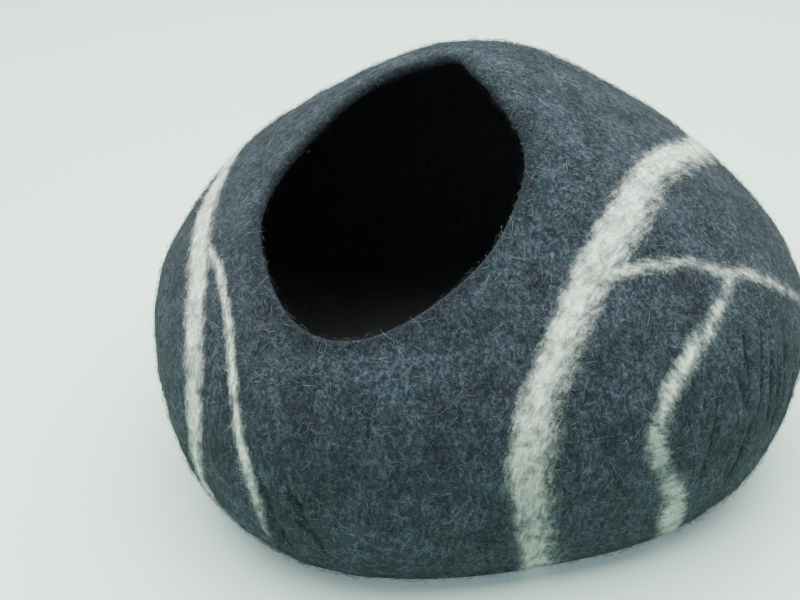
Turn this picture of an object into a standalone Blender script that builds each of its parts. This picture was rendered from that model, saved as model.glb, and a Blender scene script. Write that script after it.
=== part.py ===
"""Felt cat cave: a hollow pod of thick felted wool with one round mouth.

Metres, +Z up. The pod rests on z = 0, its mouth faces -Y and upwards, +X is on the
right of somebody looking into the mouth. One seamless piece: floor, wall and hood.
"""
import math

import bmesh
import bpy
import numpy as np
from mathutils import Vector

NAME = "felt_cat_cave"

# ---- driving sizes -------------------------------------------------------------------
WALL = 0.007            # felt thickness
GIRTH_HEIGHT = 0.116    # height of the widest line above the floor
CROWN_RISE = 0.170      # rise of the upper curve above the girth line
FOOT_DROP = 0.157       # drop of the lower curve, cut off by the floor
UPPER_FULLNESS = 1.72   # 2 is an ellipse, less is leaner, more is squarer
LOWER_FULLNESS = 3.00
GIRTH_BLEND = 0.25      # how softly the upper curve turns into the lower one
CURVE_SOFTNESS = 0.50   # takes the points off the curves at crown and girth
FLOOR_ROLL = 0.010      # height over which the wall rolls into the flat base
CAGE_EASE = 1.008       # a smoothed surface lies a little inside its cage
CENTRE = (0.005, -0.003)  # plan centre of the finished box, taken off every point

# reach of the girth line from the upright axis, eight ways round (0 = +X, 90 = +Y)
GIRTH_REACH = (
    # name, heading (deg), reach (m)
    ("right",         0, 0.252),
    ("rear right",   45, 0.240),
    ("rear",         90, 0.247),
    ("rear left",   135, 0.238),
    ("left",        180, 0.240),
    ("front left",  225, 0.240),
    ("front",       270, 0.248),
    ("front right", 315, 0.223),
)

# broad rises (+) and hollows (-) worked into the wool, as a share of the local reach
SWELLS = (
    # name, heading, tilt, height, spread (deg)
    ("hood",           -86,  87,  0.130, 32),
    ("rear shoulder",  115,  50,  0.044, 25),
    ("left shoulder", -158,  24,  0.010, 13),
    ("right tuck",      10, -30, -0.024, 25),
)

# mouth: heading and tilt of its axis, and its half-angle at each hour of a clock
MOUTH_HEADING = -85.0
MOUTH_TILT = 56.3
MOUTH_HOURS = (
    # hour, half-angle (deg)
    (12, 29.4), (1, 26.4), (2, 26.7), (3, 26.2), (4, 27.7), (5, 31.2),
    (6, 34.4), (7, 30.8), (8, 30.2), (9, 28.2), (10, 28.2), (11, 29.6),
)
MOUTH_PEAK = (-4, 3.0, 9)    # clock angle, extra half-angle and spread of the pointed top

# rings of the wall, from the lip to the floor
COLUMNS = 32
LIP_STEPS = (0.0, 1.3, 4.2)                    # degrees outside the mouth's edge
WALL_SHARES = tuple(k / 12 for k in range(1, 13))   # share of the way to the foot
FOOT_SHARE = 0.70                              # plan share of the reach at the foot ring
BASE_SHARES = (0.62, 0.30)                     # share of the foot ring, towards the middle

FELT_GREY = (0.052, 0.081, 0.098, 1.0)


def unit(heading, tilt):
    h, t = math.radians(heading), math.radians(tilt)
    return np.array([math.cos(t) * math.cos(h), math.cos(t) * math.sin(h), math.sin(t)])


def round_trip(values, angle):
    """Smooth closed curve through evenly spaced values (angle in radians)."""
    values = np.asarray(values, float)
    n = len(values)
    waves = np.fft.rfft(values) / n
    total = waves[0].real
    for k in range(1, len(waves)):
        share = 1.0 if n % 2 == 0 and k == n // 2 else 2.0
        total += share * (waves[k] * complex(math.cos(k * angle), math.sin(k * angle))).real
    return total


def reach_along(way):
    """Distance from the heart of the pod to its outer face, along a unit direction."""
    x, y, z = way
    out = math.hypot(x, y)
    girth = round_trip([row[2] for row in GIRTH_REACH], math.atan2(y, x))
    rise = 0.5 + 0.5 * math.tanh(z / GIRTH_BLEND)
    limit = FOOT_DROP + (CROWN_RISE - FOOT_DROP) * rise
    power = LOWER_FULLNESS + (UPPER_FULLNESS - LOWER_FULLNESS) * rise
    a = math.hypot(out / girth, CURVE_SOFTNESS)
    b = math.hypot(z / limit, CURVE_SOFTNESS * 1.5)
    reach = CAGE_EASE * (a ** power + b ** power) ** (-1.0 / power)
    for _, heading, tilt, height, spread in SWELLS:
        cos_gap = float(np.clip(np.dot(way, unit(heading, tilt)), -1, 1))
        reach *= 1 + height * math.exp(-(math.degrees(math.acos(cos_gap)) / spread) ** 2)
    return reach


def to_floor(z):
    """Presses the underside flat, with a soft roll instead of an edge."""
    if z <= -FLOOR_ROLL:
        return 0.0
    if z < FLOOR_ROLL:
        return (z + FLOOR_ROLL) ** 2 / (4 * FLOOR_ROLL)
    return z


def skin(way):
    """Point of the outer face along a direction from the heart of the pod."""
    p = np.asarray(way) * reach_along(way)
    return Vector((p[0] - CENTRE[0], p[1] - CENTRE[1], to_floor(p[2] + GIRTH_HEIGHT)))


def mouth_way(clock, wider):
    """Direction through the mouth's edge at a clock angle (0 is the top, 90 the right)."""
    axis = unit(MOUTH_HEADING, MOUTH_TILT)
    right = np.cross((0, 0, 1), axis)
    right /= np.linalg.norm(right)
    up = np.cross(axis, right)
    hours = [angle for _, angle in sorted((h % 12, a) for h, a in MOUTH_HOURS)]
    half = round_trip(hours, math.radians(clock))
    where, extra, spread = MOUTH_PEAK
    off = (clock - where + 180) % 360 - 180
    half = math.radians(half + extra * math.exp(-(off / spread) ** 2) + wider)
    c = math.radians(clock)
    edge = math.sin(c) * right + math.cos(c) * up
    return math.cos(half) * axis + math.sin(half) * edge


def foot_way(clock):
    """Direction to the ring where the wall has reached the floor, under a clock angle."""
    heading = math.radians(90 - clock)
    girth = round_trip([row[2] for row in GIRTH_REACH], heading)
    drop = GIRTH_HEIGHT + 1.5 * FLOOR_ROLL
    way = np.array([FOOT_SHARE * girth * math.cos(heading),
                    FOOT_SHARE * girth * math.sin(heading), -drop])
    return way / np.linalg.norm(way)


def slerp(a, b, share):
    gap = math.acos(float(np.clip(np.dot(a, b), -1, 1)))
    return (math.sin((1 - share) * gap) * a + math.sin(share * gap) * b) / math.sin(gap)


def wall_point(ring, clock):
    if ring < len(LIP_STEPS):
        return skin(mouth_way(clock, LIP_STEPS[ring]))
    ring -= len(LIP_STEPS)
    if ring < len(WALL_SHARES):
        start = mouth_way(clock, LIP_STEPS[-1])
        return skin(slerp(start, foot_way(clock), WALL_SHARES[ring]))
    foot = skin(foot_way(clock))
    share = BASE_SHARES[ring - len(WALL_SHARES)]
    return Vector((foot.x * share, foot.y * share, 0.0))


def build_pod(collection):
    rings = len(LIP_STEPS) + len(WALL_SHARES) + len(BASE_SHARES)
    bm = bmesh.new()
    bmesh.ops.create_uvsphere(bm, u_segments=COLUMNS, v_segments=rings + 1, radius=1.0)
    for v in list(bm.verts):
        if v.co.z > 0.9999:
            bm.verts.remove(v)                     # the open mouth
            continue
        if v.co.z < -0.9999:
            v.co = Vector((0, 0, 0))               # middle of the base
            continue
        polar = math.acos(max(-1.0, min(1.0, v.co.z)))
        ring = round(polar / math.pi * (rings + 1)) - 1
        clock = math.degrees(math.atan2(v.co.x, v.co.y))
        v.co = wall_point(ring, clock)
    bmesh.ops.recalc_face_normals(bm, faces=bm.faces)
    mesh = bpy.data.meshes.new("felt_shell")
    bm.to_mesh(mesh)
    bm.free()
    mesh.shade_smooth()

    pod = bpy.data.objects.new("felt_shell", mesh)
    collection.objects.link(pod)

    wall = pod.modifiers.new("wall", "SOLIDIFY")
    wall.thickness = WALL
    wall.offset = -1.0
    wall.use_even_offset = True
    soft = pod.modifiers.new("soft edges", "SUBSURF")
    soft.levels = 1
    soft.render_levels = 1
    return pod


def felt_material():
    mat = bpy.data.materials.new("grey felt")
    mat.use_nodes = True
    shader = mat.node_tree.nodes["Principled BSDF"]
    shader.inputs["Base Color"].default_value = FELT_GREY
    shader.inputs["Roughness"].default_value = 0.95
    shader.inputs["Metallic"].default_value = 0.0
    mat.diffuse_color = FELT_GREY
    return mat


def main():
    for old in list(bpy.data.objects):
        bpy.data.objects.remove(old, do_unlink=True)
    collection = bpy.data.collections.new(NAME)
    bpy.context.scene.collection.children.link(collection)
    pod = build_pod(collection)
    pod.data.materials.append(felt_material())


main()
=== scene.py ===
"""Looks of the felt cat cave: worked wool shell, pale veins, black inside, loose fibres."""

import math

import bmesh
import bpy
import numpy as np
from mathutils import Matrix, Vector


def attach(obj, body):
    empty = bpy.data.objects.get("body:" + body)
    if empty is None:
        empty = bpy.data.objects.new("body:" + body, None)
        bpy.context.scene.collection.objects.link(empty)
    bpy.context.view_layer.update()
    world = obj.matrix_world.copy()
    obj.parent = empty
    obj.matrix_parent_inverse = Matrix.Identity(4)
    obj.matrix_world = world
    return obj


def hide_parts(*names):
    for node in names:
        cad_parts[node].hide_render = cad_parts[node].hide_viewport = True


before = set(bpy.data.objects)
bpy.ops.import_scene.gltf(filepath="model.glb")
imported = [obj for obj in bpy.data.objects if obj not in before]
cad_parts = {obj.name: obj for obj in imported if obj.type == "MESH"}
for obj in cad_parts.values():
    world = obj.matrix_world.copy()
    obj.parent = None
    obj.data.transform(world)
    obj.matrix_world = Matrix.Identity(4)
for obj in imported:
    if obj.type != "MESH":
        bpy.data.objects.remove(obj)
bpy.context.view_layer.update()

# ---- the pod's own sizes, as in the solid (m, degrees) -----------------------------------
WALL = 0.007
GIRTH_HEIGHT = 0.116    # height of the widest line round the pod
CROWN_RISE = 0.170      # from that line up to the crown, without the hood's swell
FOOT_DROP = 0.157       # from that line down, before the floor flattens the foot
UPPER_FULLNESS = 1.72   # 2 is an ellipse, more is boxier
LOWER_FULLNESS = 3.00
GIRTH_BLEND = 0.25      # how gradually the lower form turns into the upper one
CURVE_SOFTNESS = 0.50   # rounds off the crown and the girth
CROWN_SOFTER = 1.5      # times as much at the crown
FLOOR_ROLL = 0.010      # height over which the side rolls under onto the floor
SKIN_EASE = 1.004
CENTRE = (0.005, -0.003)

# reach of the girth line, eight ways round from +X towards +Y
GIRTH_REACH = (0.252, 0.240, 0.247, 0.238, 0.240, 0.240, 0.248, 0.223)

SWELLS = (
    # name, heading, tilt, height (share of the reach), spread
    ("hood",           -86,  87,  0.130, 32),
    ("rear shoulder",  115,  50,  0.044, 25),
    ("left shoulder", -158,  24,  0.010, 13),
    ("right tuck",      10, -30, -0.024, 25),
)

MOUTH_HEADING = -85.0
MOUTH_TILT = 56.3
MOUTH_HOURS = (
    # hour, half-angle
    (12, 29.4), (1, 26.4), (2, 26.7), (3, 26.2), (4, 27.7), (5, 31.2),
    (6, 34.4), (7, 30.8), (8, 30.2), (9, 28.2), (10, 28.2), (11, 29.6),
)
MOUTH_PEAK = (-4, 3.0, 9)   # the blunt corner at the top: clock, how much wider, spread
LIP_ROLL = 0.9          # the wall stops this far short, so that its rounded lip ends at the edge
FOOT_SHARE = 0.70       # the wall ends, and the flat foot begins, at this share of the girth

# fine mesh of the shell: columns round it, closer on the creased right flank
COLUMNS = 320
FLANK_CLOCK, FLANK_CLOSER, FLANK_SPREAD = 92.0, 1.5, 20.0
WALL_RINGS, BASE_RINGS, LIP_RINGS, INNER_RINGS, INNER_BASE_RINGS = 150, 8, 9, 40, 4
LIP_CLOSER = 0.35       # share of the rings' spacing that tightens towards the lip
MAP_SHARE = 0.45        # height in the map of the inside and the lip, against the outer face
MAP_EDGE = 0.005        # empty strip round each half of the map

# how far in a spot is, in walls: 0 at the outer edge of the lip, 1 at its inner edge, below 0
# on the outer face
DEEPEST = 6.0

# unevenness of the hand-worked face
HAND_WAVES = (
    # length (m), height (m), seed
    (0.110, 0.00090, 3), (0.030, 0.00035, 5), (0.013, 0.00016, 8),
)
CALM_RINGS = 6          # the handwork fades in over these rings from the lip
CALM_HEIGHT = 0.02      # and over this height from the floor

# pale wool laid on before felting, as rows of heading, tilt, width (mm) and paleness (%)
VEINS = {
    "broad_vein": (
        (112, -12, 0, 90), (104, 2, 12, 90), (92, 12, 16.5, 95), (74, 19, 21, 100),
        (55, 25, 22.5, 100), (37.5, 33, 24, 100), (24, 39.5, 22.5, 100), (12, 42.8, 22.5, 100),
        (4.8, 43.8, 22.5, 100), (-3, 42.8, 24, 100), (-13.5, 40.3, 26, 100),
        (-22, 36.7, 25, 100), (-31, 31, 24, 100), (-36.5, 26, 22.5, 100), (-40.5, 21.5, 22.5, 98),
        (-44, 16.5, 22.5, 95), (-47, 10, 25, 92), (-48.5, 1, 27, 70), (-47.5, -9.5, 24.5, 50),
        (-46, -22.5, 24, 66), (-44.5, -32, 24, 84), (-43, -42, 14, 90), (-42, -50, 0, 80),
    ),
    "thin_branch": (
        (-31, 30.8, 9, 100), (-24.3, 30.7, 8, 95), (-19, 30, 7, 90), (-13, 28.8, 6, 85),
        (-8, 26.7, 5, 75), (-3.7, 23.2, 6.5, 80), (1.7, 20.4, 8, 80), (6.6, 16.2, 8, 75),
        (12, 10.5, 7, 65), (17, 6, 6, 60), (24, 0, 6, 60), (31, -9, 6, 60), (35, -18, 5, 50),
        (38, -28, 0, 30),
    ),
    "side_branch": (
        (-1.5, 22, 7, 70), (-5, 19.9, 7.5, 75), (-9, 18.6, 7.5, 85), (-12.2, 17.2, 8.5, 90),
        (-16, 15.5, 10.5, 95), (-18.9, 14, 11, 95), (-23.3, 10.5, 11.5, 92),
        (-25.2, 8.5, 9, 85), (-26.5, 5.5, 10.5, 72), (-27.3, 3, 13, 64), (-26.5, -1.8, 13, 54),
        (-25.2, -5, 13, 50), (-23.7, -8, 16, 52), (-22.5, -12, 20, 58), (-21.5, -16.5, 20, 70),
        (-19.5, -22, 18, 72), (-16.5, -32, 12, 70), (-15, -42, 0, 50),
    ),
    "left_vein": (
        (118, -4, 0, 80), (126, 8, 12.5, 90), (140, 17, 18, 95), (160, 23, 21, 100),
        (180, 25.5, 23.5, 100), (-165, 25.7, 23.5, 100), (-148, 25.5, 23.5, 100),
        (-135, 24.2, 23.5, 100), (-123.5, 21.6, 22.5, 100), (-118.5, 19.8, 21, 100),
        (-108.4, 12.6, 19, 98), (-105, 7, 17.5, 95), (-104.5, 1.5, 16, 92),
        (-105.3, -5.5, 14, 90), (-106.5, -10, 12.5, 85), (-106, -16, 12.5, 80),
        (-106, -26, 11.5, 70), (-105, -38, 0, 50),
    ),
    "left_thread": (
        (-127, 23.5, 4.5, 80), (-120.5, 24.4, 6, 90), (-115, 24.1, 6.5, 95),
        (-109.5, 22.3, 6.5, 95), (-105, 19.6, 6.5, 95), (-100.4, 15.9, 6.5, 95),
        (-97.4, 11.9, 6.5, 95), (-95.2, 7.5, 7, 95), (-94, 3.5, 8, 95), (-93.1, -1, 8, 90),
        (-92.6, -5, 8, 75), (-92.4, -9, 8, 55), (-92.5, -13, 7.5, 35), (-93, -18, 7, 15),
        (-94, -24, 0, 0),
    ),
}
# edges of the veins: fray and thin veil (m), how much farther one side is combed out, and how
# far the strands slant across the strip
VEIN_EDGES = {
    "broad_vein": (0.0030, 0.006, 0.8, 0.25),
    "thin_branch": (0.0030, 0.006, 0.0, 0.25),
    "side_branch": (0.0030, 0.006, 0.0, -3.0),
    "left_vein": (0.0030, 0.006, 0.0, 0.25),
    "left_thread": (0.0018, 0.003, 0.0, 0.25),
}
VEIN_REACH = 0.045      # no pale wool farther beside a strip's middle than this (m)
VEIN_END = 0.002        # nor farther past its last row
NO_VEIN = -0.02         # half-width given to such spots
FARTHEST_BESIDE = 0.06  # distances beside a strip are stored up to this
THINNEST_VEIN = 0.0002  # half-width below which a strip has ended

# creases pressed into the wool: rows of heading, tilt, then depth and half-width (mm)
CREASES = {
    "thread_groove": ((-92.6, 1, 0, 3), (-92.3, -1, 1.0, 3), (-91.3, -2.8, 1.5, 3),
                      (-90.5, -5.1, 1.7, 3.5), (-90.3, -8.6, 2.0, 4), (-89.9, -12, 1.6, 4.5),
                      (-89, -15.5, 1.0, 5), (-88, -20, 0, 5)),
    "low_groove": ((-86.6, 2, 0, 3), (-86.2, -1.5, 0.6, 3), (-85.8, -4, 1.4, 2.5),
                   (-84.8, -5.9, 2.4, 3), (-84.4, -8.2, 1.5, 3.5), (-83.4, -10.9, 1.4, 4),
                   (-82.5, -14.5, 1.2, 4.5), (-81.5, -19, 0, 5)),
    "foot_fold": ((-94, -14, 0, 3), (-93.2, -16.5, 1.0, 3), (-91.5, -19.5, 1.2, 3),
                  (-89.5, -23, 0, 3)),
    "flank_a": ((-2.8, 13.5, 0, 2.4), (-3.4, 11, 0.8, 2.4), (-5.4, 7.5, 1.1, 2.6),
                (-6.6, 2, 0.8, 2.8), (-7.2, -3, 0, 2.6)),
    "flank_b": ((-1.4, 11, 0, 2.2), (-2.2, 9, 0.8, 2.2), (-3.7, 4, 1.2, 2.6),
                (-4.0, -1, 1.1, 2.6), (-3.9, -5, 0, 2.4)),
    "flank_c": ((-0.4, 9.5, 0, 2.2), (-1.0, 7.5, 0.7, 2.2), (-1.8, 3, 1.0, 2.6),
                (-1.8, -3, 0.8, 2.6), (-2.2, -9, 0, 2.6)),
    "flank_d": ((2.5, 9.5, 0, 2.2), (1.8, 7.5, 0.7, 2.4), (0.6, 3, 1.0, 2.6),
                (0.5, -2, 0.8, 2.6), (-0.5, -7, 0, 2.4)),
    "flank_e": ((-5.8, 15.5, 0, 2.2), (-6.6, 14, 0.8, 2.4), (-8.1, 10.4, 1.3, 2.8),
                (-9.1, 7.3, 0.9, 2.6), (-9.6, 5.5, 0, 2.4)),
    "flank_f": ((-11.4, 8.3, 0, 2.4), (-11, 6.8, 1.3, 3.0), (-10.3, 4.4, 1.5, 3.2),
                (-9.8, 2, 0.9, 2.8), (-9.2, 0.5, 0, 2.4)),
    "flank_g": ((-8.4, 0.5, 0, 2.6), (-8.6, -2, 1.2, 3.0), (-9.3, -6.6, 1.4, 3.4),
                (-10.5, -11, 1.0, 3.2), (-12.0, -15, 0, 2.8)),
    "flank_h": ((-15.2, 9, 0, 3), (-15.9, 6.8, 0.7, 3.2), (-16.9, 2, 1.0, 3.4),
                (-17.8, -5.6, 0.8, 3.4), (-19.2, -11, 0, 3)),
    "flank_i": ((5.2, 6, 0, 2.4), (4.6, 3, 0.8, 2.6), (3.8, -2, 0.9, 2.8), (2.8, -7, 0, 2.6)),
}
CREASE_PRESS = 1.5      # times as deep as in its row, which the soft ridge beside it takes back
RIDGE_SHARE, RIDGE_PLACE = 0.35, 1.9    # the ridge's height in depths, its place in half-widths
CREASE_SHADE_REACH = 2.5        # half-widths over which a crease gets painted shade
CREASE_SHADE_DEPTH = 0.0010     # depth (m) at which that painted shade is full
BESIDE_LIMIT = 12.0     # distances beside a crease are stored up to this (mm)


# ---- form --------------------------------------------------------------------------------
def unit(heading, tilt):
    """Direction with a heading (0 along +X, 90 along +Y) and a tilt above level."""
    h, t = np.radians(heading), np.radians(tilt)
    return np.stack([np.cos(t) * np.cos(h), np.cos(t) * np.sin(h), np.sin(t) + 0 * h], -1)


def round_trip(values, angle):
    """Smooth closed curve through evenly spaced values (angle in radians)."""
    values = np.asarray(values, float)
    n = len(values)
    waves = np.fft.rfft(values) / n
    total = np.full(np.shape(angle), waves[0].real)
    for k in range(1, len(waves)):
        share = 1.0 if n % 2 == 0 and k == n // 2 else 2.0
        total = total + share * (waves[k] * np.exp(1j * k * np.asarray(angle))).real
    return total


def reach_along(ways):
    """How far the face is from the middle of the girth, in each direction."""
    x, y, z = ways[..., 0], ways[..., 1], ways[..., 2]
    girth = round_trip(GIRTH_REACH, np.arctan2(y, x))
    rise = 0.5 + 0.5 * np.tanh(z / GIRTH_BLEND)
    limit = FOOT_DROP + (CROWN_RISE - FOOT_DROP) * rise
    power = LOWER_FULLNESS + (UPPER_FULLNESS - LOWER_FULLNESS) * rise
    a = np.hypot(np.hypot(x, y) / girth, CURVE_SOFTNESS)
    b = np.hypot(z / limit, CURVE_SOFTNESS * CROWN_SOFTER)
    reach = SKIN_EASE * (a ** power + b ** power) ** (-1.0 / power)
    for _, heading, tilt, height, spread in SWELLS:
        gap = np.degrees(np.arccos(np.clip(ways @ unit(heading, tilt), -1, 1)))
        reach = reach * (1 + height * np.exp(-(gap / spread) ** 2))
    return reach


def to_floor(z):
    """Heights with everything below the floor raised to it, by a soft bend."""
    rolled = (z + FLOOR_ROLL) ** 2 / (4 * FLOOR_ROLL)
    return np.where(z <= -FLOOR_ROLL, 0.0, np.where(z < FLOOR_ROLL, rolled, z))


def skin(ways):
    """Points of the outer face in the given directions."""
    p = ways * reach_along(ways)[..., None]
    return np.stack([p[..., 0] - CENTRE[0], p[..., 1] - CENTRE[1],
                     to_floor(p[..., 2] + GIRTH_HEIGHT)], -1)


def mouth_way(clock, wider):
    """Directions round the mouth; clock in degrees, 0 at the top and 90 on the right."""
    axis = unit(MOUTH_HEADING, MOUTH_TILT)
    right = np.cross((0, 0, 1), axis)
    right /= np.linalg.norm(right)
    up = np.cross(axis, right)
    hours = [angle for _, angle in sorted((h % 12, a) for h, a in MOUTH_HOURS)]
    where, extra, spread = MOUTH_PEAK
    off = (clock - where + 180) % 360 - 180
    half = round_trip(hours, np.radians(clock)) + extra * np.exp(-(off / spread) ** 2)
    half = np.radians(half + wider)[..., None]
    c = np.radians(clock)[..., None]
    edge = np.sin(c) * right + np.cos(c) * up
    return np.cos(half) * axis + np.sin(half) * edge


def foot_way(clock):
    """Directions to the edge of the flat foot."""
    heading = np.radians(90 - clock)
    girth = FOOT_SHARE * round_trip(GIRTH_REACH, heading)
    drop = np.full(np.shape(clock), -(GIRTH_HEIGHT + 1.5 * FLOOR_ROLL))
    way = np.stack([girth * np.cos(heading), girth * np.sin(heading), drop], -1)
    return way / np.linalg.norm(way, axis=-1, keepdims=True)


def slerp(a, b, share):
    """Directions a share of the way from a to b."""
    gap = np.arccos(np.clip((a * b).sum(-1), -1, 1))[..., None]
    share = share[..., None]
    return (np.sin((1 - share) * gap) * a + np.sin(share * gap) * b) / np.sin(gap)


def wall_points(clock, share):
    """Outer face from the lip (0) to the foot (1)."""
    return skin(slerp(mouth_way(clock, LIP_ROLL), foot_way(clock), share))


def unit_rows(v):
    return v / np.maximum(np.linalg.norm(v, axis=-1, keepdims=True), 1e-12)


def lengths_along(points):
    """Length from the first point to each, along axis 0."""
    steps = np.linalg.norm(np.diff(points, axis=0), axis=-1)
    return np.concatenate([np.zeros_like(steps[:1]), np.cumsum(steps, axis=0)])


def smooth_route(rows, samples=320):
    """Even smooth curve on the skin through rows whose first two values are its way."""
    rows = np.array(rows, float)
    ways = unit(rows[:, 0], rows[:, 1])
    at = lengths_along(ways)
    knots = np.concatenate([ways, rows[:, 2:]], 1)
    first, last = 2 * knots[0] - knots[1], 2 * knots[-1] - knots[-2]
    k = np.vstack([first, knots, last])
    s = np.linspace(0, at[-1], samples)
    i = np.clip(np.searchsorted(at, s, side="right") - 1, 0, len(at) - 2)
    t = ((s - at[i]) / (at[i + 1] - at[i]))[:, None]
    a, b, c, d = k[i], k[i + 1], k[i + 2], k[i + 3]
    curve = 0.5 * (2 * b + (c - a) * t + (2 * a - 5 * b + 4 * c - d) * t ** 2
                   + (3 * b - a - 3 * c + d) * t ** 3)
    points = skin(unit_rows(curve[:, :3]))
    return points, lengths_along(points), np.maximum(curve[:, 3:], 0)


def beside_route(points, normals, route):
    """Signed distance beside a route, place along it, its values there, how far past it."""
    line, along, values = route
    nearest = np.zeros(len(points), int)
    for start in range(0, len(points), 4096):
        part = points[start:start + 4096]
        gap = ((part[:, None, :] - line[None]) ** 2).sum(-1)
        nearest[start:start + 4096] = gap.argmin(1)
    run = unit_rows(np.gradient(line, axis=0))[nearest]
    away = points - line[nearest]
    sideways = np.cross(normals, run)
    distance = np.linalg.norm(away, axis=1)
    sign = np.where((away * sideways).sum(-1) < 0, -1.0, 1.0)
    past = np.where(nearest == 0, -(away * run).sum(-1),
                    np.where(nearest == len(line) - 1, (away * run).sum(-1), 0))
    return sign * distance, along[nearest] + (away * run).sum(-1), values[nearest], past


def waves(points, length, seed, count=14):
    """Gentle unevenness of about the given wavelength, between -1 and 1."""
    rng = np.random.default_rng(seed)
    total = np.zeros(len(points))
    for _ in range(count):
        way = unit_rows(rng.normal(size=3))
        k = 2 * math.pi / (length * rng.uniform(0.7, 1.6))
        total += np.sin(points @ way * k + rng.uniform(0, 2 * math.pi))
    return total / math.sqrt(count)


# ---- shell -------------------------------------------------------------------------------
def add_to_scene(name, data):
    obj = bpy.data.objects.new(name, data)
    bpy.context.scene.collection.objects.link(obj)
    return obj


def column_clocks():
    """Clock angles of the columns, closer together on the creased flank."""
    c = np.linspace(0, 360, 3601)
    off = (c - FLANK_CLOCK + 180) % 360 - 180
    weight = 1 + FLANK_CLOSER * np.exp(-(off / FLANK_SPREAD) ** 2)
    total = np.concatenate([[0], np.cumsum((weight[1:] + weight[:-1]) / 2)])
    return np.interp(np.arange(COLUMNS) / COLUMNS * total[-1], total, c)


def shell_section():
    """Rings of points: inner floor, inner wall, lip, wall, base. Poles are left out."""
    clock = column_clocks()
    # closer rings near the lip
    s = np.linspace(0, 1, WALL_RINGS)
    s = LIP_CLOSER * s ** 2 + (1 - LIP_CLOSER) * s
    wall = np.stack([wall_points(clock, np.full(COLUMNS, v)) for v in s])
    along = np.gradient(wall, axis=0)
    around = np.roll(wall, -1, 1) - np.roll(wall, 1, 1)
    normal = unit_rows(np.cross(along, around))
    if (normal[0] * (wall[0] - wall.mean((0, 1)))).sum() < 0:
        normal = -normal
    shrink = np.linspace(1, 0, BASE_RINGS + 2)[1:-1]
    base = wall[-1][None] * shrink[:, None, None]
    base[..., 2] = 0.0
    v = np.linspace(0, 1, INNER_RINGS)
    inner_wall = np.stack([wall_points(clock, np.full(COLUMNS, w)) for w in v])
    inward = np.stack([normal[int(round(k))] for k in np.interp(v, s, np.arange(WALL_RINGS))])
    inner = inner_wall - inward * WALL
    inner[..., 2] = np.maximum(inner[..., 2], WALL)
    shrink = np.linspace(1, 0, INNER_BASE_RINGS + 2)[1:-1]
    inner_base = inner[-1][None] * shrink[:, None, None]
    inner_base[..., 2] = WALL
    out = unit_rows(wall[0] - wall[2])
    mid = wall[0] - normal[0] * WALL / 2
    turn = np.linspace(0, math.pi, LIP_RINGS + 2)[1:-1]
    lip = np.stack([mid + WALL / 2 * (normal[0] * math.cos(a) + out * math.sin(a))
                    for a in turn])
    return wall, normal, base, lip, inner, inner_base


def handwork(points, normals):
    """Lift of the worked face off its smooth form, painted shade along the creases, and mm beside
    each crease.
    """
    lift = sum(height * waves(points, length, seed) for length, height, seed in HAND_WAVES)
    crease_shade_amount, lines = np.zeros(len(points)), []
    for rows in CREASES.values():
        side, _, values, past = beside_route(points, normals, smooth_route(rows))
        depth, half = values[:, 0] / 1000, np.maximum(values[:, 1], 1) / 1000
        trough = np.exp(-(side / half) ** 2)
        ridge = np.exp(-((np.abs(side) - RIDGE_PLACE * half) / half) ** 2)
        lift -= np.where(past > 0, 0, CREASE_PRESS * depth * (trough - RIDGE_SHARE * ridge))
        # painted shade near each crease, fuller where the crease is deeper
        near = (past <= 0) & (np.abs(side) < CREASE_SHADE_REACH * half)
        crease_shade_amount = np.maximum(crease_shade_amount, np.where(near, np.clip(depth / CREASE_SHADE_DEPTH, 0, 1), 0))
        lines.append(np.clip(side * 1000, -BESIDE_LIMIT, BESIDE_LIMIT))
    return lift * np.clip(points[:, 2] / CALM_HEIGHT, 0, 1), crease_shade_amount, np.stack(lines, -1)


def put(mesh, name, kind, values):
    """Stores one value for each vertex under a name that materials read."""
    field = "vector" if kind == "FLOAT_VECTOR" else "value"
    attribute = mesh.attributes.new(name, kind, "POINT")
    attribute.data.foreach_set(field, values.astype(np.float32).ravel())


def corners_of(mesh):
    """Each corner's vertex and face, and each face's first corner and size."""
    vertex = np.zeros(len(mesh.loops), np.int64)
    mesh.loops.foreach_get("vertex_index", vertex)
    starts, sizes = np.zeros((2, len(mesh.polygons)), np.int64)
    mesh.polygons.foreach_get("loop_start", starts)
    mesh.polygons.foreach_get("loop_total", sizes)
    return vertex, np.repeat(np.arange(len(starts)), sizes), starts, sizes


def put_map(mesh, across, up):
    """The UV map that the finished colours are laid on."""
    uv = np.stack([across, up], -1).astype(np.float32)
    mesh.uv_layers.new(name="OFBake").uv.foreach_set("vector", uv.ravel())


def lay_out_shell(mesh, ring, col, heights):
    """UV map: each half of the shell unrolled as a strip, columns across and rings up."""
    vertex, face, starts, _ = corners_of(mesh)
    across, up = col[vertex].astype(float), ring[vertex]
    pole = (up < 0) | (up >= len(heights))

    def ends():
        least = np.minimum.reduceat(np.where(pole, 1e9, across), starts)[face]
        return least, np.maximum.reduceat(np.where(pole, -1, across), starts)[face]

    least, most = ends()
    across += COLUMNS * (~pole & (most - least > COLUMNS / 2) & (across < COLUMNS / 2))
    least, most = ends()
    across = np.where(pole, (least + most) / 2, across)
    half = least // (COLUMNS // 2)
    height = np.where(up < 0, 0, np.where(up >= len(heights), 1,
                                          heights[np.clip(up, 0, len(heights) - 1)]))
    width, tall = 1 - 2 * MAP_EDGE, 0.5 - 2 * MAP_EDGE
    put_map(mesh, MAP_EDGE + width * (across - half * COLUMNS / 2) / (COLUMNS / 2),
            0.5 * half + MAP_EDGE + tall * height)


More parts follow.
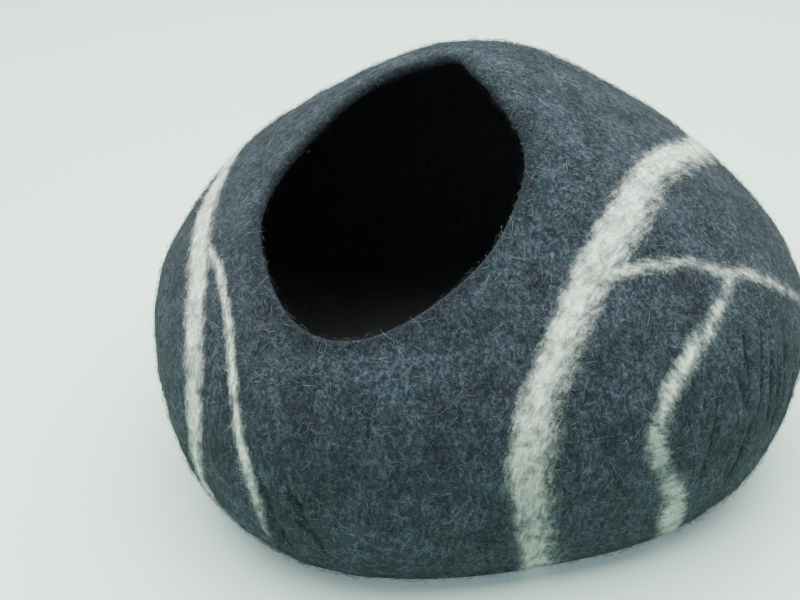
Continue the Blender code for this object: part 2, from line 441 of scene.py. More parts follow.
def faces_between(rings):
    """Four-sided faces between rings, and three-sided ones round the first and last point."""
    low = np.arange((rings - 1) * COLUMNS)
    beside = low - low % COLUMNS + (low + 1) % COLUMNS
    faces = np.stack([low, beside, beside + COLUMNS, low + COLUMNS], -1).tolist()
    col = np.arange(COLUMNS)
    after, first = (col + 1) % COLUMNS, rings * COLUMNS
    last = (rings - 1) * COLUMNS
    faces += np.stack([np.full(COLUMNS, first), after, col], -1).tolist()
    faces += np.stack([np.full(COLUMNS, first + 1), last + col, last + after], -1).tolist()
    return faces


def build_shell():
    """The whole felt wall, its outer face worked by hand, with what the materials read."""
    wall, normal, base, lip, inner, inner_base = shell_section()
    outer_depth = -np.minimum(lengths_along(wall) / WALL, DEEPEST)
    flat_p, flat_n = wall.reshape(-1, 3), normal.reshape(-1, 3)
    lift, crease_shade_amount, lines = handwork(flat_p, flat_n)
    from_lip = np.repeat(np.arange(WALL_RINGS), COLUMNS)
    flat_p += flat_n * (lift * np.clip(from_lip / CALM_RINGS, 0, 1))[:, None]

    # rings from the middle of the inner floor, up, round the lip, down and under
    stack = np.concatenate([inner_base[::-1], inner[::-1], lip[::-1], wall, base])
    inner_depth = 1 + np.minimum(lengths_along(inner) / WALL, DEEPEST - 1)
    lip_depth = np.linspace(1, 0, LIP_RINGS + 2)[1:-1]
    depth = np.concatenate([np.full((len(inner_base), COLUMNS), DEEPEST), inner_depth[::-1],
                            np.repeat(lip_depth[:, None], COLUMNS, 1), outer_depth,
                            np.full((len(base), COLUMNS), -DEEPEST)])
    rings = len(stack)
    points = np.concatenate([stack.reshape(-1, 3), [(0, 0, WALL), (0, 0, 0)]])
    count = len(points)
    ring = np.append(np.repeat(np.arange(rings), COLUMNS), [-1, rings])
    col = np.append(np.tile(np.arange(COLUMNS), rings), [0, 0])
    top, bottom = ring < 0, ring >= rings
    safe = np.clip(ring, 0, rings - 1)
    mesh = bpy.data.meshes.new("felt_shell_wool")
    mesh.from_pydata(points.tolist(), [], faces_between(rings))
    mesh.update()
    bm = bmesh.new()
    bm.from_mesh(mesh)
    bmesh.ops.recalc_face_normals(bm, faces=bm.faces)
    bm.to_mesh(mesh)
    bm.free()
    mesh.shade_smooth()

    inside = depth[safe, col]
    inside[top], inside[bottom] = DEEPEST, -DEEPEST
    put(mesh, "inside", "FLOAT", inside)
    start = len(inner_base) + len(inner) + len(lip)
    on_wall = (ring >= start) & (ring < start + WALL_RINGS)
    spot = (ring[on_wall] - start) * COLUMNS + col[on_wall]
    # painted shade along the creases, stored for the materials
    crease_shade, beside = np.zeros(count), np.full((count, lines.shape[1]), BESIDE_LIMIT)
    crease_shade[on_wall], beside[on_wall] = crease_shade_amount[spot], lines[spot]
    put(mesh, "crease_shade", "FLOAT", crease_shade)
    for number in range(lines.shape[1] // 3):
        put(mesh, f"folds_{number + 1}", "FLOAT_VECTOR", beside[:, 3 * number:3 * number + 3])

    n = np.zeros(count * 3, np.float32)
    mesh.vertex_normals.foreach_get("vector", n)
    n = n.reshape(-1, 3).astype(float)
    paleness, best = np.ones(count), np.full(count, -1.0)
    for name, rows in VEINS.items():
        side, along, values, past = beside_route(points, n, smooth_route(rows))
        half = values[:, 0] / 2000
        # each spot takes its paleness from the vein it is deepest in
        gap = np.where(half > THINNEST_VEIN, half, -1) - np.abs(side)
        paleness = np.where(gap > best, values[:, 1] / 100, paleness)
        best = np.maximum(best, gap)
        half[(np.abs(side) > VEIN_REACH) | (past > VEIN_END)] = NO_VEIN
        side = np.clip(side, -FARTHEST_BESIDE, FARTHEST_BESIDE)
        put(mesh, name, "FLOAT_VECTOR", np.stack([side, along, half], -1))
    put(mesh, "paleness", "FLOAT", paleness)
    # rings as high in the map as they are long, with less for the inside and the lip
    steps = np.linalg.norm(np.diff(stack, axis=0), axis=-1).mean(1)
    steps *= np.where(np.arange(rings - 1) < start, MAP_SHARE, 1.0)
    heights = np.concatenate([[0], np.cumsum(steps)])
    lay_out_shell(mesh, ring, col, 0.01 + 0.98 * heights / heights[-1])
    return add_to_scene("felt_shell_wool", mesh)


shell = build_shell()


# ---- trees of nodes ----------------------------------------------------------------------
FLOAT, WHOLE, VECTOR = "NodeSocketFloat", "NodeSocketInt", "NodeSocketVector"
GEOMETRY, MATERIAL = "NodeSocketGeometry", "NodeSocketMaterial"


class Board:
    """Short hand for laying out nodes in one tree, for shading or for geometry."""

    def __init__(self, tree):
        self.tree = tree

    def add(self, kind, **settings):
        node = self.tree.nodes.new(kind)
        for key, value in settings.items():
            setattr(node, key, value)
        return node

    def feed(self, socket, value):
        if isinstance(value, bpy.types.NodeSocket):
            self.tree.links.new(value, socket)
        elif value is not None:
            socket.default_value = value

    def node(self, kind, inputs, **settings):
        """A node with its inputs fed by name or number."""
        made = self.add(kind, **settings)
        for key, value in inputs.items():
            self.feed(made.inputs[key], value)
        return made

    def placed(self, tree, **inputs):
        """The outputs of a node group, with its inputs fed by name."""
        return self.node("ShaderNodeGroup", inputs, node_tree=tree).outputs

    def give(self, end, **values):
        for name, value in values.items():
            self.feed(end.inputs[name], value)

    def stored(self, name, output="Fac"):
        """What the mesh keeps under this name, for shading."""
        return self.add("ShaderNodeAttribute", attribute_name=name).outputs[output]

    def parts(self, vector):
        return self.node("ShaderNodeSeparateXYZ", {0: vector}).outputs

    def math(self, operation, a, b=None, clamp=False):
        return self.node("ShaderNodeMath", {0: a, 1: b}, operation=operation,
                         use_clamp=clamp).outputs[0]

    def swing(self, value, size):
        """A pattern swung about zero instead of about its middle, by a size."""
        return self.math("MULTIPLY", self.math("SUBTRACT", value, 0.5), size)

    def vector_math(self, operation, a, b=None, scale=None):
        return self.node("ShaderNodeVectorMath", {0: a, 1: b, 3: scale},
                         operation=operation).outputs[0]

    def span(self, value, low_in, high_in, low_out=0.0, high_out=1.0, smooth=True):
        return self.node("ShaderNodeMapRange", {
            "Value": value, "From Min": low_in, "From Max": high_in,
            "To Min": low_out, "To Max": high_out}, clamp=True,
            interpolation_type="SMOOTHSTEP" if smooth else "LINEAR").outputs["Result"]

    def noise(self, vector, scale, detail=2.0, roughness=0.5, distortion=0.0):
        return self.node("ShaderNodeTexNoise", {
            "Vector": vector, "Scale": scale, "Detail": detail, "Roughness": roughness,
            "Distortion": distortion}).outputs["Fac"]

    def mix(self, share, a, b, blend="MIX"):
        return self.node("ShaderNodeMix", {0: share, 6: a, 7: b}, data_type="RGBA",
                         blend_type=blend).outputs[2]

    def stretch(self, vector, scale, turn=(0, 0, 0)):
        return self.node("ShaderNodeMapping", {
            "Vector": vector, "Rotation": turn, "Scale": scale}, vector_type="POINT").outputs[0]

    def ramp(self, value, *stops):
        made = self.add("ShaderNodeValToRGB")
        self.feed(made.inputs["Fac"], value)
        elements = made.color_ramp.elements
        while len(elements) < len(stops):
            elements.new(0.5)
        for element, (position, colour) in zip(elements, stops):
            element.position, element.color = position, colour
        return made.outputs["Color"]


def new_group(kind, name, inputs, outputs, output_kind=FLOAT):
    group = bpy.data.node_groups.new(name, kind)
    for label, socket_kind, value in inputs:
        socket = group.interface.new_socket(label, in_out="INPUT", socket_type=socket_kind)
        if value is not None:
            socket.default_value = value
    for label in outputs:
        group.interface.new_socket(label, in_out="OUTPUT", socket_type=output_kind)
    return (group, group.nodes.new("NodeGroupInput"), group.nodes.new("NodeGroupOutput"),
            Board(group))


def rgb(r, g, b):
    return (r, g, b, 1.0)


# ---- wool --------------------------------------------------------------------------------
# fineness of each pattern, in waves to a metre
FINE_STRANDS, CROSSED_STRANDS, UPRIGHT_STRANDS = 560.0, 330.0, 300.0
CURL_LINES, CURL_PATCHES = (200.0, 300.0), 95.0
PULLED_STRANDS, EDGE_FUZZ, EDGE_WAVES = 330.0, 480.0, 85.0
STRAY_FOLDS, BROKEN_FOLDS = 260.0, 110.0
RAGGED_LIP = 400.0
GREY_CLOUDS, HUE_SPOTS, PALE_CLOUDS = 36.0, 170.0, 75.0

STRAND_SHARES = (0.45, 0.35, 0.20)      # of the fine, crossed and upright strands
CURL_WIDTH, CURL_HEIGHT = 0.032, 0.12
EDGE_SWINGS = (2.6, 2.2, 2.2)           # of fuzz, pulled strands and slow waves, in frays
VEIL_STRENGTH = 0.70
FOLD_STRAY, FOLD_WIDTH = 5.0, (0.2, 2.8)    # mm

# colours, each from its darkest strands to its lightest
GREY_WOOL = ((0.05, rgb(0.003, 0.005, 0.008)), (0.45, rgb(0.016, 0.0240, 0.0355)),
             (0.95, rgb(0.073, 0.098, 0.122)))
PALE_WOOL = ((0.0, rgb(0.28, 0.36, 0.33)), (0.42, rgb(0.70, 0.83, 0.75)),
             (0.75, rgb(0.93, 1.00, 0.93)))
LIP_BLACK = (rgb(0.004, 0.006, 0.009), rgb(0.026, 0.032, 0.040))
# black wool deep inside, lighter than real black wool: painted light in the shaded inside
DEEP_BLACK_PAINTED_LIGHT = (rgb(0.040, 0.042, 0.048), rgb(0.140, 0.146, 0.165))
CURL_GREY = rgb(0.105, 0.138, 0.162)
# painted shade between the pulled strands of the pale wool
PALE_STRAND_SHADE = rgb(0.26, 0.32, 0.33)
GREY_TINTS = (rgb(1.13, 0.96, 1.02), rgb(0.89, 1.04, 0.99))
THIN_AND_SHADE_TINT = rgb(0.46, 0.52, 0.54)       # on the outer wool where it thins over black, and painted shade on the lip's rounded top
LOOSE_GREY = ((0.0, rgb(0.009, 0.015, 0.020)), (0.45, rgb(0.038, 0.053, 0.068)),
              (1.0, rgb(0.165, 0.205, 0.226)))
LOOSE_PALE = ((0.0, rgb(0.48, 0.56, 0.50)), (1.0, rgb(0.92, 0.98, 0.89)))
LOOSE_BLACK = ((0.0, rgb(0.006, 0.006, 0.008)), (1.0, rgb(0.040, 0.040, 0.050)))


def wool_strands_group():
    """Tangled fine wool: how light each spot is, thin curls on top, and a height."""
    group, start, end, b = new_group(
        "ShaderNodeTree", "wool strands", [("Vector", VECTOR, None), ("Contrast", FLOAT, 2.45)],
        ("Tangle", "Curls", "Height"))
    place = start.outputs["Vector"]
    fine = b.noise(place, FINE_STRANDS, 3.0, 0.7)
    crossed = b.noise(b.stretch(place, (1, 1, 0.55), (0.4, 0.2, 0.9)),
                      CROSSED_STRANDS, 2.0, 0.6, 0.6)
    upright = b.noise(b.stretch(place, (1, 1, 0.30)), UPRIGHT_STRANDS, 2.0, 0.6, 0.3)
    total = 0.0
    for strands, share in zip((fine, crossed, upright), STRAND_SHARES):
        total = b.math("ADD", total, b.math("MULTIPLY", strands, share))
    tangle = b.math("ADD", b.swing(total, start.outputs["Contrast"]), 0.5, clamp=True)
    # thin curling lines where a noise crosses its middle value
    lines = []
    for size, turn, shift in zip(CURL_LINES, ((0.3, 0.8, 0.1), (1.1, 0.2, 0.6)), (0.7, 3.1)):
        moved = b.vector_math("ADD", b.stretch(place, (1.0, 0.75, 1.2), turn),
                              (shift, shift, shift))
        off = b.math("ABSOLUTE", b.math("SUBTRACT", b.noise(moved, size, 1.0, 0.5, 1.6), 0.5))
        lines.append(b.span(off, 0.0, CURL_WIDTH, 1.0, 0.0))
    patchy = b.span(b.noise(place, CURL_PATCHES, 1.0, 0.5), 0.45, 0.62)
    curls = b.math("MULTIPLY", b.math("MAXIMUM", lines[0], lines[1]), patchy)
    b.give(end, Tangle=tangle, Curls=curls,
           Height=b.math("ADD", total, b.math("MULTIPLY", curls, CURL_HEIGHT)))
    return group


def vein_group():
    """One strip of pale wool: a mask from the place beside its middle line."""
    group, start, end, b = new_group(
        "ShaderNodeTree", "pale vein",
        [("Beside", VECTOR, None), ("Vector", VECTOR, None), ("Fray", FLOAT, 0.0030),
         ("Veil", FLOAT, 0.006), ("Combed", FLOAT, 0.0), ("Slant", FLOAT, 0.25)],
        ("Mask", "Strands"))
    side, along, half = b.parts(start.outputs["Beside"])
    place, fray = start.outputs["Vector"], start.outputs["Fray"]
    # the wool is pulled out slantwise along the strip, so its strands follow it
    slant = start.outputs["Slant"]
    size = b.math("SQRT", b.math("ADD", b.math("MULTIPLY", slant, slant), 1.0))
    across = b.math("ADD", side, b.math("MULTIPLY", along, slant))
    down = b.math("SUBTRACT", along, b.math("MULTIPLY", side, slant))
    flow = b.node("ShaderNodeCombineXYZ", {
        0: b.math("DIVIDE", across, size),
        1: b.math("MULTIPLY", b.math("DIVIDE", down, size), 0.28)}).outputs[0]
    tug = b.noise(flow, PULLED_STRANDS, 2.0, 0.6, 0.5)
    fuzz = b.noise(place, EDGE_FUZZ, 3.0, 0.7)
    slow = b.noise(place, EDGE_WAVES, 1.0, 0.5)
    wobble = 0.0
    for pattern, swing in zip((fuzz, tug, slow), EDGE_SWINGS):
        wobble = b.math("ADD", wobble, b.swing(pattern, swing))
    gap = b.math("SUBTRACT", half, b.math("ABSOLUTE", side))
    # one side may be combed out wider than the other
    combed = b.math("MULTIPLY", b.math("GREATER_THAN", side, 0.0), start.outputs["Combed"])
    fray = b.math("MULTIPLY", fray, b.math("ADD", combed, 1.0))
    edge = b.math("ADD", b.math("DIVIDE", gap, fray), wobble)
    mask = b.span(edge, -1.5, 1.7, smooth=False)
    # a thin veil of pale wool beyond the edge, in patches
    veil = b.span(b.math("DIVIDE", gap, start.outputs["Veil"]), -1.0, 0.3)
    patches = b.span(b.math("ADD", b.math("ADD", fuzz, tug), slow), 1.28, 1.72)
    veil = b.math("MULTIPLY", veil, b.math("MULTIPLY", patches, VEIL_STRENGTH))
    there = b.span(half, 0.0004, 0.0016)
    mask = b.math("POWER", b.math("MAXIMUM", mask, veil), 2.0)
    b.give(end, Mask=b.math("MULTIPLY", mask, there), Strands=tug)
    return group


def folds_group():
    """Narrow pressed lines: 1 in the bottom of a crease, 0 away from it, used for bumps and
    painted shade.
    """
    group, _, end, b = new_group("ShaderNodeTree", "pressed folds", [], ("Fold",))
    place = b.add("ShaderNodeTexCoord").outputs["Object"]
    stray = b.swing(b.noise(place, STRAY_FOLDS, 2.0, 0.6), FOLD_STRAY)
    total = 0.0
    for number in range(len(CREASES) // 3):
        for beside in b.parts(b.stored(f"folds_{number + 1}", "Vector")):
            off = b.math("ABSOLUTE", b.math("ADD", beside, stray))
            total = b.math("MAXIMUM", total, b.span(off, *FOLD_WIDTH, 1.0, 0.0))
    broken = b.span(b.noise(place, BROKEN_FOLDS, 2.0, 0.5), 0.32, 0.56, 0.35, 1.0)
    b.give(end, Fold=b.math("MULTIPLY", b.math("MULTIPLY", total, b.stored("crease_shade")), broken))
    return group


def marbling_group(pale_group):
    """Where the wool is pale, where it is black, and where grey thins over black, with painted
    shade on the lip's rounded top.
    """
    group, start, end, b = new_group(
        "ShaderNodeTree", "marbling", [("Vector", VECTOR, None)],
        ("Pale", "Strands", "Black", "Thin"))
    place = start.outputs["Vector"]
    mask, strands = 0.0, 0.0
    for name in VEINS:
        fray, veil, combed, slant = VEIN_EDGES[name]
        strip = b.placed(pale_group, Beside=b.stored(name, "Vector"), Vector=place,
                         Fray=fray, Veil=veil, Combed=combed, Slant=slant)
        closer = b.math("GREATER_THAN", strip["Mask"], mask)
        strands = b.node("ShaderNodeMix", {0: closer, 2: strands, 3: strip["Strands"]},
                         data_type="FLOAT").outputs[0]
        mask = b.math("MAXIMUM", mask, strip["Mask"])
    ragged = b.swing(b.noise(place, RAGGED_LIP, 3.0, 0.65), 3.2)
    depth = b.math("ADD", b.stored("inside"), ragged)
    b.give(end, Pale=b.math("MULTIPLY", mask, b.math("POWER", b.stored("paleness"), 1.5)),
           Strands=strands, Black=b.span(depth, 0.15, 0.60), Thin=b.span(depth, -1.4, 0.4))
    return group


strands_group = wool_strands_group()
marbling = marbling_group(vein_group())
folds = folds_group()


def new_material(name, specular):
    """A plain material, with a board for its tree and its shader's inputs."""
    mat = bpy.data.materials.new(name)
    mat.use_nodes = True
    inputs = mat.node_tree.nodes["Principled BSDF"].inputs
    inputs["Specular IOR Level"].default_value = specular
    return mat, Board(mat.node_tree), inputs


def felt_material():
    """The worked face: grey wool with its veins outside, black wool inside."""
    mat, b, shader = new_material("worked_wool_felt", 0.10)
    place = b.add("ShaderNodeTexCoord").outputs["Object"]
    tangle, curls, height = b.placed(strands_group, Vector=place)
    marks = b.placed(marbling, Vector=place)

    # dark, middle and light fibres carded together, with painted shade in the bottom of a crease
    grey = b.ramp(tangle, *GREY_WOOL)
    cloud_and_crease_shade = b.span(b.noise(place, GREY_CLOUDS, 3.0, 0.65), 0.32, 0.68, 0.67, 1.30)
    fold = b.placed(folds)["Fold"]
    # painted shade in the bottom of each crease, on top of the random clouds
    cloud_and_crease_shade = b.math("MULTIPLY", cloud_and_crease_shade, b.span(fold, 0.0, 1.0, 1.0, 0.36, smooth=False))
    grey = b.mix(1.0, grey, cloud_and_crease_shade, "MULTIPLY")
    hue = b.span(b.noise(place, HUE_SPOTS, 2.0, 0.6), 0.35, 0.65)
    grey = b.mix(1.0, grey, b.mix(hue, *GREY_TINTS), "MULTIPLY")
    grey = b.mix(b.math("MULTIPLY", curls, 0.28), grey, CURL_GREY)

    # pale wool, with painted shade between its pulled strands and cloudy thin places
    pale = b.mix(b.span(marks["Strands"], 0.36, 0.58, 0.60, 0.0), b.ramp(tangle, *PALE_WOOL),
                 PALE_STRAND_SHADE)
    clear = b.span(b.noise(place, PALE_CLOUDS, 3.0, 0.65), 0.30, 0.55, 0.36, 1.0)
    outer = b.mix(b.math("MULTIPLY", marks["Pale"], clear), grey, pale)
    # grey thinning over black near the lip, with painted shade on the lip's rounded top
    outer = b.mix(marks["Thin"], outer, b.mix(1.0, outer, THIN_AND_SHADE_TINT, "MULTIPLY"))

    # black wool inside, turned lighter deeper in as painted light
    black = b.mix(b.span(b.stored("inside"), 1.2, 4.0), b.mix(tangle, *LIP_BLACK),
                  b.mix(tangle, *DEEP_BLACK_PAINTED_LIGHT))
    b.feed(shader["Base Color"], b.mix(marks["Black"], outer, black))
    b.feed(shader["Roughness"], b.span(tangle, 0.1, 0.9, 0.98, 0.86))
    shader["Sheen Weight"].default_value = 0.05
    shader["Sheen Roughness"].default_value = 0.5
    shader["Sheen Tint"].default_value = rgb(0.75, 0.85, 0.9)
    height = b.math("SUBTRACT", height, b.math("MULTIPLY", fold, 0.28))
    bump = b.node("ShaderNodeBump", {"Strength": 1.0, "Distance": 0.0028, "Height": height})
    b.feed(shader["Normal"], bump.outputs["Normal"])
    return mat


def loose_material():
    """Single fibres that stand off the felt, lighter where they catch the light, with painted
    shade in the creases.
    """
    mat, b, shader = new_material("loose_wool", 0.2)
    marks = b.placed(marbling, Vector=b.add("ShaderNodeTexCoord").outputs["Object"])
    shade = b.stored("shade")
    # painted shade on the fibres in the bottom of a crease
    fold = b.span(b.placed(folds)["Fold"], 0.0, 1.0, 1.0, 0.45, smooth=False)
    grey = b.mix(1.0, b.ramp(shade, *LOOSE_GREY), fold, "MULTIPLY")
    outer = b.mix(marks["Pale"], grey, b.ramp(shade, *LOOSE_PALE))
    b.feed(shader["Base Color"], b.mix(marks["Black"], outer, b.ramp(shade, *LOOSE_BLACK)))
    b.feed(shader["Roughness"], b.span(shade, 0.0, 1.0, 0.9, 0.7))
    return mat


shell.data.materials.append(felt_material())
loose = loose_material()


# ---- loose fibres ------------------------------------------------------------------------
FIBRE_SIZES = ("Seed", "Density", "Length", "Thickness", "Lift", "Curl", "Curl Size",
               "From", "To")
LOOSE_WOOL = (
    # piece, seed, fibres per m2, then length, thickness, lift, curl and curl size (m), and
    # from and to which depth they grow
    ("loose_wool_1", 21, 13500.0, 0.0105, 0.00010, 0.0017, 0.0026, 0.005, -9.0, 1.3),
    ("loose_wool_2", 22, 13500.0, 0.0105, 0.00010, 0.0017, 0.0026, 0.005, -9.0, 1.3),
    ("loose_wool_3", 23, 13500.0, 0.0105, 0.00010, 0.0017, 0.0026, 0.005, -9.0, 1.3),
    ("loose_wool_short", 31, 13500.0, 0.0060, 0.00009, 0.0038, 0.0018, 0.004, -9.0, 1.3),
    ("loose_wool_lip", 47, 42000.0, 0.0070, 0.00011, 0.0030, 0.0022, 0.004, -1.0, 0.8),
)
FIBRE_POINTS, FIBRE_SIDES = 6, 3
FLOOR_CLEAR = 0.008     # no fibres lower than this (m)
OFF_FACE = 0.00020      # how far the ends of a lying fibre are off the face (m)
FREE_ABOVE = 0.72       # a fibre whose draw is above this has one end free
FREE_RISE = 1.3         # how high that end rises, in bows
MOSTLY_LOW = 1.8        # power that makes dark and low fibres the commoner ones
TIP_SHARE = 0.3         # a fibre's thickness at its ends

# a fibre's cell in the map: its sides unrolled, and its caps beside them
SIDES_AT, SIDES_WIDE, SIDES_TALL = 0.04, 0.70, 0.92
CAPS_ACROSS, CAP_WIDE, CAPS_UP, CAP_TALL = 0.80, 0.09, 0.10, 0.12


def lay_out_fibres(mesh):
    """Gives every fibre its own cell of the UV map."""
    each = FIBRE_POINTS * FIBRE_SIDES
    vertex, face, starts, sizes = corners_of(mesh)
    cell, ring = vertex // each, vertex % each // FIBRE_SIDES
    side = (vertex % FIBRE_SIDES).astype(float)
    widest = np.maximum.reduceat(side, starts)[face]
    cap = (sizes == 3)[face]
    side = np.where(~cap & (side == 0) & (widest == FIBRE_SIDES - 1), FIBRE_SIDES, side)
    across = np.where(cap, CAPS_ACROSS + CAP_WIDE * side,
                      SIDES_AT + SIDES_WIDE * side / FIBRE_SIDES)
    up = np.where(cap, CAPS_UP + CAP_TALL * ring + CAP_TALL * (side == 1),
                  SIDES_AT + SIDES_TALL * ring / (FIBRE_POINTS - 1))
    grid = math.ceil(math.sqrt(len(mesh.vertices) / each))
    put_map(mesh, (cell % grid + across) / grid, (cell // grid + up) / grid)


def loose_wool_tree():
    """Curled fibres scattered over the outer face, each a thin closed tube."""
    group, start, end, b = new_group(
        "GeometryNodeTree", "loose wool",
        [("Geometry", GEOMETRY, None), ("Density", FLOAT, 10000.0), ("Length", FLOAT, 0.014),
         ("Thickness", FLOAT, 0.00016), ("Lift", FLOAT, 0.0016), ("Curl", FLOAT, 0.0022),
         ("Curl Size", FLOAT, 0.007), ("Seed", WHOLE, 1), ("From", FLOAT, -9.0),
         ("To", FLOAT, 1.3), ("Material", MATERIAL, None)],
        ("Geometry",), GEOMETRY)
    given = start.outputs

    def named(name, kind="FLOAT"):
        return b.node("GeometryNodeInputNamedAttribute", {"Name": name},
                      data_type=kind).outputs["Attribute"]

    def chance(low, high, step):
        return b.node("FunctionNodeRandomValue", {
            2: low, 3: high, "Seed": b.math("ADD", given["Seed"], step)},
            data_type="FLOAT").outputs[1]

    depth = named("inside")
    outside = b.math("MULTIPLY", b.math("LESS_THAN", depth, given["To"]),
                     b.math("GREATER_THAN", depth, given["From"]))
    height = b.parts(b.add("GeometryNodeInputPosition").outputs[0])["Z"]
    off_floor = b.math("GREATER_THAN", height, FLOOR_CLEAR)
    spread = b.node("GeometryNodeDistributePointsOnFaces", {
        "Mesh": given["Geometry"], "Selection": b.math("MULTIPLY", outside, off_floor),
        "Density": given["Density"], "Seed": given["Seed"]}, distribute_method="RANDOM")
    points = spread.outputs["Points"]
    kept = (("away", "FLOAT_VECTOR", spread.outputs["Normal"]),
            ("shade", "FLOAT", b.math("POWER", chance(0.0, 1.0, 11), MOSTLY_LOW)),
            ("spring", "FLOAT", b.math("POWER", chance(0.0, 1.0, 12), MOSTLY_LOW)),
            ("end_up", "FLOAT", chance(0.0, 1.0, 13)))
    for name, kind, value in kept:
        points = b.node("GeometryNodeStoreNamedAttribute", {
            "Geometry": points, "Name": name, "Value": value},
            data_type=kind, domain="POINT").outputs["Geometry"]

    turn = b.node("ShaderNodeCombineXYZ", {"Z": chance(0.0, 2 * math.pi, 14)})
    turned = b.node("FunctionNodeRotateRotation", {
        "Rotation": spread.outputs["Rotation"],
        "Rotate By": b.node("FunctionNodeEulerToRotation", {0: turn.outputs[0]}).outputs[0]},
        rotation_space="LOCAL")
    line = b.node("GeometryNodeCurvePrimitiveLine", {
        "Start": (-0.5, 0, 0), "End": (0.5, 0, 0)})
    line = b.node("GeometryNodeResampleCurve", {
        "Curve": line.outputs["Curve"], "Count": FIBRE_POINTS})
    size = b.math("MULTIPLY", given["Length"], chance(0.45, 1.5, 15))
    laid = b.node("GeometryNodeInstanceOnPoints", {
        "Points": points, "Instance": line.outputs["Curve"], "Rotation": turned.outputs[0],
        "Scale": size})
    curves = b.node("GeometryNodeRealizeInstances", {"Geometry": laid.outputs["Instances"]})

    # curl the fibre about, then bow it off the face; some have one end standing free
    t = b.add("GeometryNodeSplineParameter").outputs["Factor"]
    place = b.add("GeometryNodeInputPosition").outputs[0]
    drift = b.node("ShaderNodeTexNoise", {
        "Vector": b.vector_math("ADD", place, (3.0, 5.0, 7.0)),
        "W": b.math("MULTIPLY", named("end_up"), 40.0),
        "Scale": b.math("DIVIDE", 1.0, given["Curl Size"]), "Detail": 1.0},
        noise_dimensions="4D").outputs["Color"]
    drift = b.vector_math("SUBTRACT", drift, (0.5, 0.5, 0.5))
    drift = b.vector_math("SCALE", drift, scale=b.math("MULTIPLY", given["Curl"], 2.6))
    bow = b.math("SINE", b.math("MULTIPLY", t, math.pi))
    free = b.math("MULTIPLY", b.math("POWER", t, 2.0),
                  b.math("GREATER_THAN", named("end_up"), FREE_ABOVE))
    bow = b.math("MAXIMUM", bow, b.math("MULTIPLY", free, FREE_RISE))
    rise = b.math("MULTIPLY", b.math("MULTIPLY", bow, named("spring")), given["Lift"])
    rise = b.math("ADD", rise, OFF_FACE)
    lifted = b.vector_math("SCALE", named("away", "FLOAT_VECTOR"), scale=rise)
    moved = b.node("GeometryNodeSetPosition", {
        "Geometry": curves.outputs["Geometry"], "Offset": b.vector_math("ADD", drift, lifted)})
    from_middle = b.math("ABSOLUTE", b.math("SUBTRACT", b.math("MULTIPLY", t, 2.0), 1.0))
    taper = b.math("SUBTRACT", 1.0, b.math("POWER", from_middle, 3.0))
    width = b.math("ADD", b.math("MULTIPLY", taper, 1 - TIP_SHARE), TIP_SHARE)
    ring = b.node("GeometryNodeCurvePrimitiveCircle", {
        "Resolution": FIBRE_SIDES, "Radius": 1.0}, mode="RADIUS")
    tubes = b.node("GeometryNodeCurveToMesh", {
        "Curve": moved.outputs["Geometry"], "Profile Curve": ring.outputs["Curve"],
        "Scale": b.math("MULTIPLY", given["Thickness"], width), "Fill Caps": True})
    whole = b.node("GeometryNodeRealizeInstances", {"Geometry": tubes.outputs["Mesh"]})
    done = b.node("GeometryNodeSetMaterial", {
        "Geometry": whole.outputs["Geometry"], "Material": given["Material"]})
    b.give(end, Geometry=done.outputs["Geometry"])
    return group


def scatter_fibres(tree, name, *sizes):
    """One joined mesh of loose fibres, taken from the shell's outer face."""
    source = add_to_scene("fibre_source", shell.data)
    scatter = source.modifiers.new("loose wool", "NODES")
    scatter.node_group = tree
    sockets = {item.name: item.identifier for item in tree.interface.items_tree
               if item.in_out == "INPUT"}
    for label, value in zip(FIBRE_SIZES, sizes):
        scatter[sockets[label]] = value
    scatter[sockets["Material"]] = loose
    graph = bpy.context.evaluated_depsgraph_get()
    mesh = bpy.data.meshes.new_from_object(source.evaluated_get(graph))
    mesh.name = name
    lay_out_fibres(mesh)
    source.modifiers.remove(scatter)
    bpy.data.objects.remove(source)
    mesh.shade_smooth()
    return add_to_scene(name, mesh)


fibres = []
fibre_tree = loose_wool_tree()
fibres = [scatter_fibres(fibre_tree, *row) for row in LOOSE_WOOL]


# ---- floor, light and camera -------------------------------------------------------------
FLOOR_HALF, FLOOR_BELOW = 6.0, 0.0002
PAPER, PAPER_GLOW, GLOW_STRENGTH = rgb(0.62, 0.82, 0.70), rgb(0.64, 0.86, 0.98), 0.22
AIR, AIR_STRENGTH = rgb(0.80, 0.90, 0.84), 0.28
LIGHTS = (
    # name, place, aim, size, watts, colour
    ("soft_overhead", (-0.1, 0.1, 1.8), (0, 0, 0.1), (2.6, 2.6), 178, (1.0, 1.0, 0.92)),
    ("soft_front", (0.2, -1.9, 0.9), (0, 0, 0.05), (1.8, 1.2), 5, (0.93, 0.97, 1.0)),
)
# the camera's ways (degrees), how far it is from what it looks at, its lens (mm), and where
# on the picture that falls (px)
HEADING, HEIGHT, ROLL = 33.07, 32.0, -1.25
AIM, DISTANCE = (-0.005, 0.003, 0.12), 0.9555
LENS, SENSOR = 56.25, 36.0
PICTURE, AIM_AT = (800, 600), (472.2, 285.5)


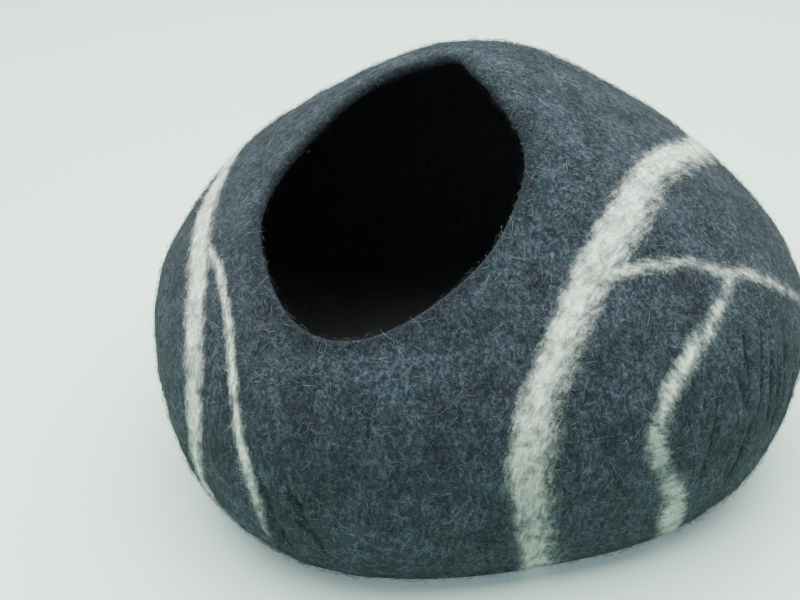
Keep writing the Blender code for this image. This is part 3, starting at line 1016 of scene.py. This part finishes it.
def build_floor():
    bm = bmesh.new()
    bmesh.ops.create_grid(bm, x_segments=1, y_segments=1, size=FLOOR_HALF)
    for v in bm.verts:
        v.co.z = -FLOOR_BELOW
    mesh = bpy.data.meshes.new("studio_floor")
    bm.to_mesh(mesh)
    bm.free()
    paper, _, shader = new_material("pale_paper", 0.2)
    shader["Base Color"].default_value = PAPER
    shader["Roughness"].default_value = 0.7
    shader["Emission Color"].default_value = PAPER_GLOW
    shader["Emission Strength"].default_value = GLOW_STRENGTH
    mesh.materials.append(paper)
    return add_to_scene("studio_floor", mesh)


def area_light(name, at, aim, size, power, colour):
    data = bpy.data.lights.new(name, "AREA")
    data.shape = "RECTANGLE"
    data.size, data.size_y = size
    data.energy = power
    data.color = colour
    obj = add_to_scene(name, data)
    obj.location = at
    obj.rotation_mode = "QUATERNION"
    obj.rotation_quaternion = (Vector(aim) - Vector(at)).to_track_quat("-Z", "Y")


def build_camera():
    a, e, t = (math.radians(v) for v in (HEADING, HEIGHT, ROLL))
    back = Vector((math.sin(a) * math.cos(e), -math.cos(a) * math.cos(e), math.sin(e)))
    right = Vector((0, 0, 1)).cross(back).normalized()
    up = back.cross(right)
    right, up = right * math.cos(t) + up * math.sin(t), up * math.cos(t) - right * math.sin(t)
    data = bpy.data.cameras.new("studio_camera")
    data.lens, data.sensor_width = LENS, SENSOR
    data.shift_x = -(AIM_AT[0] - PICTURE[0] / 2) / PICTURE[0]
    data.shift_y = (AIM_AT[1] - PICTURE[1] / 2) / PICTURE[0]
    basis = Matrix((right, up, back)).transposed().to_4x4()
    basis.translation = Vector(AIM) + back * DISTANCE
    camera = add_to_scene("studio_camera", data)
    camera.matrix_world = basis
    bpy.context.scene.camera = camera


floor = build_floor()
for row in LIGHTS:
    area_light(*row)
world = bpy.data.worlds.new("studio_air")
world.use_nodes = True
air = world.node_tree.nodes["Background"].inputs
air["Color"].default_value, air["Strength"].default_value = AIR, AIR_STRENGTH
bpy.context.scene.world = world
build_camera()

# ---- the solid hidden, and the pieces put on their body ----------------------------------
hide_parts("felt_shell")
for piece in [shell] + fibres:
    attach(piece, "root")
